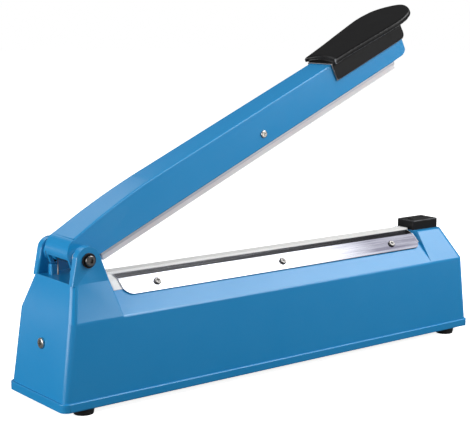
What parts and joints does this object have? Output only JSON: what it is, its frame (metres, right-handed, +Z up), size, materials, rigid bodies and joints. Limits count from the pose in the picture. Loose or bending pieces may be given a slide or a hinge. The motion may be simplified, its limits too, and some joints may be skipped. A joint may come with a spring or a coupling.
{
  "type": "impulse heat sealer",
  "caption": "Hand impulse heat sealer: long tapered casing with a heated ridge, hinged pressing arm with paddle handle, end switch, timer knob and rubber feet.",
  "frame": {"origin": "centre of the casing footprint, on the plane that the rubber feet stand on", "axes": "+X along the length from the hinge end to the handle end, +Y to the side with the timer knob and the cord gland, +Z up; the arm is stored open on its stop"},
  "size_m": [0.413, 0.0924, 0.2853],
  "materials": {
    "blue_plastic": "injection-moulded ABS, satin gloss",
    "black_plastic": "injection-moulded black plastic, satin",
    "rubber": "moulded black rubber",
    "silicone": "extruded translucent silicone rubber",
    "aluminium": "brushed and extruded aluminium",
    "ptfe_cloth": "glass-fibre cloth coated with fluoropolymer",
    "bright_steel": "nickel-plated steel",
    "zinc_steel": "zinc-plated sheet steel",
    "spring_steel": "bare spring steel and resistance alloy",
    "brass": "turned brass",
    "laminated_iron": "stacked silicon-steel laminations, varnished",
    "copper": "enamelled copper wire",
    "white_nylon": "moulded nylon",
    "circuit_board": "phenolic paper circuit board",
    "dark_moulding": "dark moulded component bodies",
    "red_lens": "tinted clear plastic lens"
  },
  "bodies": {
    "base": {"base_shell": "blue_plastic", "bottom_plate": "zinc_steel", "bracket_screws": "bright_steel", "cord_clamp": "zinc_steel", "cord_gland": "black_plastic", "cover_plate_screws": "bright_steel", "ear_bushes": "black_plastic", "end_wall_nut": "bright_steel", "end_wall_screw": "bright_steel", "foot_screws": "bright_steel", "front_cover_plate": "aluminium", "heater_bar": "aluminium", "heater_bar_screws": "bright_steel", "heating_wire": "spring_steel", "indicator_lamp": "dark_moulding", "indicator_lens": "red_lens", "insulating_tape": "ptfe_cloth", "microswitch_body": "dark_moulding", "microswitch_screws": "bright_steel", "pivot_bolt": "bright_steel", "pivot_nut": "bright_steel", "pivot_washers": "white_nylon", "plunger_spring": "spring_steel", "potentiometer_nut": "bright_steel", "primary_winding": "copper", "ptfe_cloth": "ptfe_cloth", "rear_cover_plate": "aluminium", "relay": "dark_moulding", "return_spring": "spring_steel", "rubber_feet": "rubber", "secondary_winding": "copper", "strap_screws": "bright_steel", "switch_bracket": "zinc_steel", "switch_cover": "black_plastic", "switch_cover_screw": "bright_steel", "terminal_clamp_screws": "bright_steel", "terminal_insulators": "white_nylon", "terminal_studs": "brass", "timer_board": "circuit_board", "timer_board_screws": "bright_steel", "timer_capacitor": "dark_moulding", "timer_potentiometer": "dark_moulding", "transformer_bobbin": "white_nylon", "transformer_core": "laminated_iron", "transformer_strap": "zinc_steel", "wire_terminals": "brass"},
    "arm": {"arm_shell": "blue_plastic", "press_bar": "aluminium", "press_bar_screws": "bright_steel", "silicone_strip": "silicone", "cross_screw": "bright_steel", "cross_screw_nut": "bright_steel", "bar_spacers": "bright_steel", "handle_grip": "black_plastic", "handle_screws": "bright_steel"},
    "plunger": {"switch_plunger": "black_plastic"},
    "lever": {"microswitch_lever": "spring_steel"},
    "knob": {"timer_knob": "black_plastic", "knob_shaft": "bright_steel"}
  },
  "joints": [
    {"name": "arm_hinge", "type": "hinge", "parent": "base", "child": "arm", "pos_m": [-0.177, 0, 0.1086], "axis": [0, 1, 0], "range_deg": [0, 24], "stiffness_Nm_per_rad": 1, "springref_deg": -45.84},
    {"name": "plunger_slide", "type": "slide", "parent": "base", "child": "plunger", "axis": [0, 0, -1], "range_m": [0, 0.002], "stiffness_N_per_m": 400, "springref_m": -0.002, "deforming": ["plunger_spring"]},
    {"name": "lever_hinge", "type": "hinge", "parent": "base", "child": "lever", "pos_m": [0.1852, 0, 0.0826], "axis": [0, -1, 0], "range_deg": [0, 8.2]},
    {"name": "knob_turn", "type": "hinge", "parent": "base", "child": "knob", "pos_m": [0.0935, 0.0388, 0.041], "axis": [0, 1, 0], "range_deg": [-135, 135]}
  ],
  "couplings": [
    {"joint": "lever_hinge", "follows": "plunger_slide", "rad_per_m": 70.66}
  ]
}
